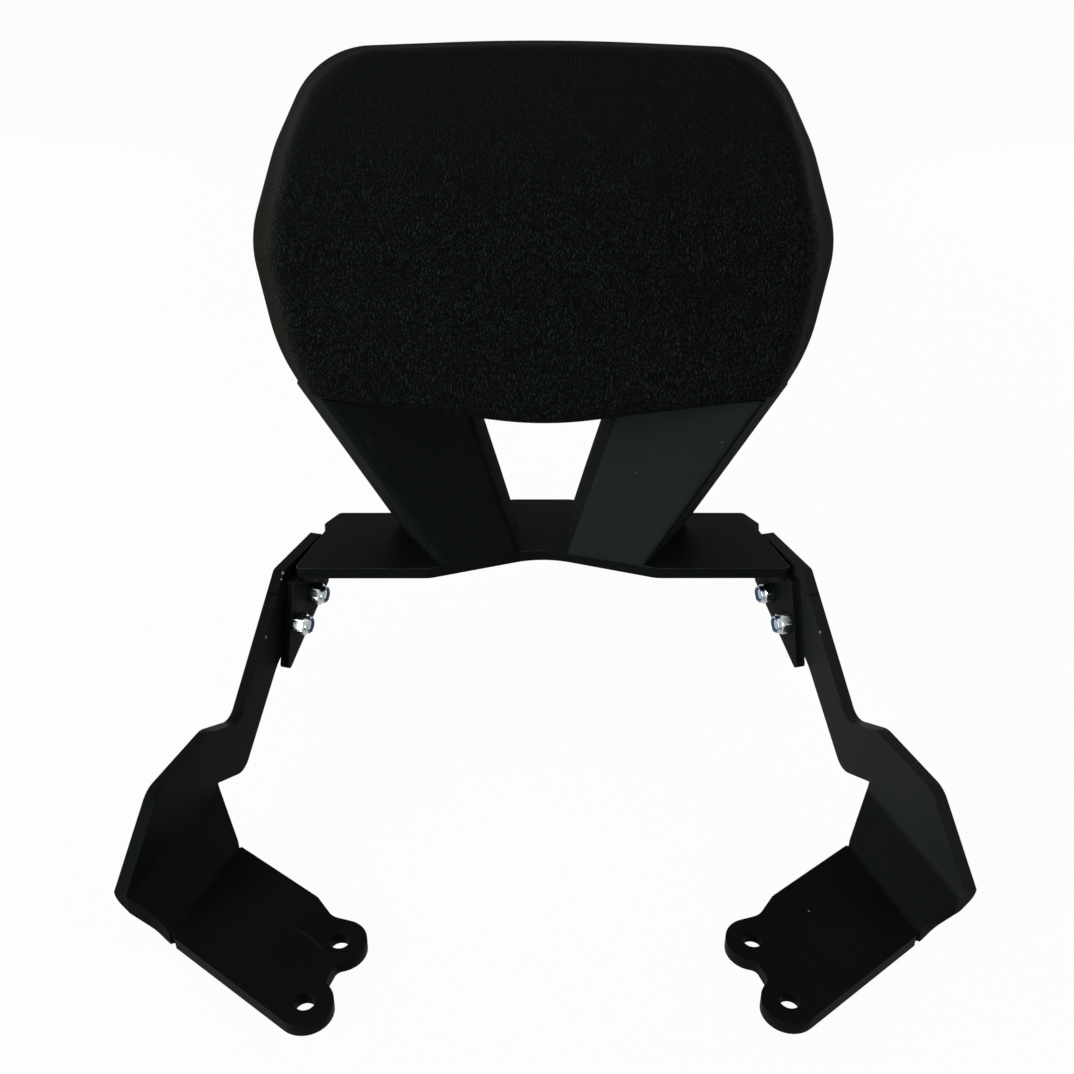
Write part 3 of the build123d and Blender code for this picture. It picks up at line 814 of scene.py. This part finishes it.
def bolt_shape(name, length):
    """A hexagon bolt: dished head above the seat, shank below it, chamfered end."""
    dish = [(1.5, 3.7), (2.9, 3.75), (3.3, 4.0)]
    head = [(hexed(flats, 4.75), 4.0), (hexed(flats, 5.2), 3.75), (hexed(flats), 3.4)]
    seat = [(hexed(flats), 0.3), (hexed(flats, 5.3), 0.12), (4.6, 0.0), (2.98, 0.0)]
    shank = [(2.98, 0.75 - length), (2.5, 0.1 - length), (2.3, -length)]
    return turned(name, dish + head + seat + shank, bored=False)


screw_shape = turned(
    "screw_shape",
    [
        (hexed(socket), 1.6), (hexed(socket), 3.55), (hexed(socket + 0.5), 3.8), (4.2, 3.8), (4.55, 3.65),
        (4.75, 3.3), (4.75, 0.25), (4.6, 0.0), (2.48, 0.0), (2.48, -14.9), (2.0, -15.5),
    ],
    bored=False,
)
screw_washer_shape = turned(
    "screw_washer_shape",
    [(2.75, 0), (5.85, 0), (6.0, 0.15), (6.0, 0.8), (5.8, 1.0), (2.9, 1.0), (2.75, 0.9)],
    bored=True,
)
print("turned shapes", len(nut_shape.polygons), "faces in a nut,", len(screw_shape.polygons), "in a screw")

# %% [markdown]
# One Geometry Nodes tree sets any of these shapes on a list of places. The places are the points of a
# small mesh, and each carries the direction that the shape's axis shall take. Copies could be placed one
# by one, but then each would need its own turn: a bolt stops at a chance angle when it is tightened. Here
# the tree turns each copy about its own axis by a random amount, from a fixed seed.

# %% Tree that sets a shape on places
def places_tree():
    tree = bpy.data.node_groups.new("set_on_places", "GeometryNodeTree")
    sockets = {"Places": "Geometry", "Shape": "Object", "Most turn": "Float"}
    sockets |= {"Seed": "Int", "Finish": "Material"}
    for label, kind in sockets.items():
        tree.interface.new_socket(label, in_out="INPUT", socket_type="NodeSocket" + kind)
    tree.interface.new_socket("Pieces", in_out="OUTPUT", socket_type="NodeSocketGeometry")

    def add(kind, settings=None, links=None):
        node = tree.nodes.new(kind)
        for key, value in (settings or {}).items():
            setattr(node, key, value)
        for key, value in (links or {}).items():
            if isinstance(value, bpy.types.NodeSocket):
                tree.links.new(value, node.inputs[key])
            else:
                node.inputs[key].default_value = value
        return node

    given = add("NodeGroupInput").outputs
    shape = add("GeometryNodeObjectInfo", {"transform_space": "ORIGINAL"}, {"Object": given["Shape"]})
    aim = add("GeometryNodeInputNamedAttribute", {"data_type": "FLOAT_VECTOR"}, {"Name": "aim"})
    point = add("FunctionNodeAlignRotationToVector", {"axis": "Z"}, {"Vector": aim.outputs[0]})
    limits = {"Seed": given["Seed"], 3: given["Most turn"]}
    chance = add("FunctionNodeRandomValue", {"data_type": "FLOAT"}, limits)
    spin = add("FunctionNodeAxisAngleToRotation", None, {"Axis": (0, 0, 1), "Angle": chance.outputs[1]})
    turn = add(
        "FunctionNodeRotateRotation", {"rotation_space": "LOCAL"},
        {"Rotation": point.outputs[0], "Rotate By": spin.outputs[0]},
    )
    copies = add(
        "GeometryNodeInstanceOnPoints", None,
        {"Points": given["Places"], "Instance": shape.outputs["Geometry"], "Rotation": turn.outputs[0]},
    )
    real = add("GeometryNodeRealizeInstances", None, {"Geometry": copies.outputs[0]})
    done = add("GeometryNodeSetMaterial", None, {"Geometry": real.outputs[0], "Material": given["Finish"]})
    add("NodeGroupOutput", None, {"Pieces": done.outputs[0]})
    return tree


places = places_tree()
print("tree", places.name, "with", len(places.nodes), "nodes")

# %% [markdown]
# The result of the tree is read back as a plain mesh, the modifier goes, and the piece takes the place of
# the plain solids that stand for it in the frame.

# %% Set a shape on its places
def set_on_places(name, shape, spots, finish, stands_for, most_turn=1.0, seed=1):
    """Copies of a shape at (point, direction) places in millimetres, as one piece of the object."""
    dots = bpy.data.meshes.new(name + "_places")
    dots.from_pydata([spot * mm for spot, aim in spots], [], [])
    aims = dots.attributes.new("aim", "FLOAT_VECTOR", "POINT")
    aims.data.foreach_set("vector", [c for spot, aim in spots for c in aim])
    piece = bpy.data.objects.new(name, dots)
    pattern = bpy.data.objects.new(name + "_shape", shape)
    for made in (piece, pattern):
        scene.collection.objects.link(made)
    modifier = piece.modifiers.new("places", "NODES")
    modifier.node_group = places
    keys = {item.name: item.identifier for item in places.interface.items_tree if item.in_out == "INPUT"}
    for label, value in {"Shape": pattern, "Most turn": most_turn, "Seed": seed, "Finish": finish}.items():
        modifier[keys[label]] = value
    evaluated = piece.evaluated_get(bpy.context.evaluated_depsgraph_get())
    mesh = bpy.data.meshes.new_from_object(evaluated)
    piece.modifiers.clear()
    piece.data = mesh
    mesh.name = name
    mesh.set_sharp_from_angle(angle=radians(40))
    bpy.data.objects.remove(pattern)
    bpy.data.meshes.remove(dots)
    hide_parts(*stands_for)
    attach(piece, "root")
    print(name, len(spots), "copies,", len(mesh.polygons), "faces")


def set_hardware(name, shape, spots, stands_for, seed=1):
    """Zinc plated copies of a shape."""
    set_on_places(name, shape, spots, zinc_finish, stands_for, seed=seed)


print("placing helper ready")

# %% [markdown]
# Two bolts on each side clamp an ear to its bracket. The heads with their washers are outboard, and the
# lock nuts sit on the inner face of the ear, where the photograph shows them with their blue rings. The
# places are listed for one side and mirrored to the other.

# %% Bracket bolts and lock nuts
flip = Vector((-1, 1, 1))
ear_thick, arm_thick, washer_thick = 5, 6, 1.6
bolt_runs = [(187, 76.8), (167.3, 69.8)]


def other_side(spots):
    """The same places on both sides of the bike."""
    return spots + [(spot * flip, aim * flip) for spot, aim in spots]


def sides_of(node):
    """Names of a left and a right node."""
    return ["left_" + node, "right_" + node]


bolt_places = [arm_start + rearward * run + Vector((0, 0, z)) for run, z in bolt_runs]
nut_places = other_side([(spot - outboard * ear_thick, -outboard) for spot in bolt_places])
washer_places = other_side([(spot + outboard * arm_thick, outboard) for spot in bolt_places])
head_places = other_side([(spot + outboard * (arm_thick + washer_thick), outboard) for spot in bolt_places])
set_hardware("lock_nuts", nut_shape, nut_places, sides_of("lock_nuts"), seed=3)
set_on_places("nut_rings", ring_shape, nut_places, nylon_finish, sides_of("nut_rings"), seed=3)
set_hardware("bracket_washers", washer_shape, washer_places, sides_of("bracket_washers"))
bracket_bolt = bolt_shape("bracket_bolt", 20)
set_hardware("bracket_bolts", bracket_bolt, head_places, sides_of("bracket_bolts"), seed=5)

# %% [markdown]
# Four bolts come up through the cross plate into the legs, and four socket screws go forward through the
# back of the carrier into the board that carries the foam. They are out of sight in the photograph and
# show from below and behind. A leg bolt stands midway between the front and the back of its leg.

# %% Leg bolts and pad screws
below = Vector((0, 0, -1))
plate_under, leg_front, leg_back, carrier_back, screw_washer_thick = 93, -8.6, -38, -9, 1
leg_spots = []
for x in (26, 46):
    midway = (x * leg_sweep + leg_front + leg_back) / 2
    leg_spots.append(Vector((x, rest_origin.y - midway / cos(lean), plate_under)))
leg_washer_places = other_side([(spot, below) for spot in leg_spots])
leg_bolt_places = other_side([(spot + below * washer_thick, below) for spot in leg_spots])
set_hardware("leg_washers", washer_shape, leg_washer_places, sides_of("leg_washers"))
leg_bolt = bolt_shape("leg_bolt", 19.6)
set_hardware("leg_bolts", leg_bolt, leg_bolt_places, sides_of("leg_bolts"), seed=9)

screw_spots = [(72, 125), (76, 205)]
screw_seat = carrier_back - screw_washer_thick
seat_places = other_side([(on_rest(x, v, carrier_back), -rest_out) for x, v in screw_spots])
screw_places = other_side([(on_rest(x, v, screw_seat), -rest_out) for x, v in screw_spots])
set_hardware("pad_screw_washers", screw_washer_shape, seat_places, ["pad_screw_washers"])
set_hardware("pad_screws", screw_shape, screw_places, ["pad_screws"], seed=4)

# %% [markdown]
# A weld bead is a row of small overlapping crescents, one for each time the pool froze. A plain round
# fillet would look cast, so each crescent is drawn: a quarter of a stretched ball that sits in the corner
# between the ear and the plate. It is drawn in the object's own directions, and the same tree repeats it
# along the corner, this time without a turn.

# %% Weld beads
bead_size, ripple_half, bead_start, ripple_pitch, ripple_count = 3.5, 2.3, 177, 1.6, 18


def weld_ripple(name, side):
    """One ripple of the bead in the corner under the plate. The side is 1 for left and -1 for right."""
    inward = Vector((-outboard.x * side, -outboard.y, 0))
    along = Vector((rearward.x * side, rearward.y, 0))
    arc = [inward * cos(radians(t)) + below * sin(radians(t)) for t in (1, 15, 30, 45, 60, 75, 89)]
    rows = []
    for i in range(9):
        lift = radians(-80 + 20 * i)
        core = along * ripple_half * sin(lift)
        rows.append([(a * bead_size * cos(lift) + core) * mm for a in arc] + [core * mm])
    count = len(rows[0])
    faces = bands(len(rows), count)
    faces.append(tuple(range(count)))
    faces.append(tuple(range((len(rows) - 1) * count, len(rows) * count)))
    work = bmesh.new()
    made = [work.verts.new(p) for row in rows for p in row]
    for corners in faces:
        work.faces.new([made[c] for c in corners])
    return smooth_mesh(work, name)


corner_line = arm_start - outboard * ear_thick + Vector((0, 0, plate_under))
runs = [bead_start + ripple_pitch * k for k in range(ripple_count)]
bead = [(corner_line + rearward * run, -below) for run in runs]
bead_right = [(spot * flip, aim) for spot, aim in bead]
for side_name, side, spots in (("left", 1, bead), ("right", -1, bead_right)):
    ripple = weld_ripple(side_name + "_ripple", side)
    stands_for = [side_name + "_ear_weld"]
    set_on_places(side_name + "_weld", ripple, spots, steel_finish, stands_for, 0.0)

# %% [markdown]

# %% End
print("scene built")
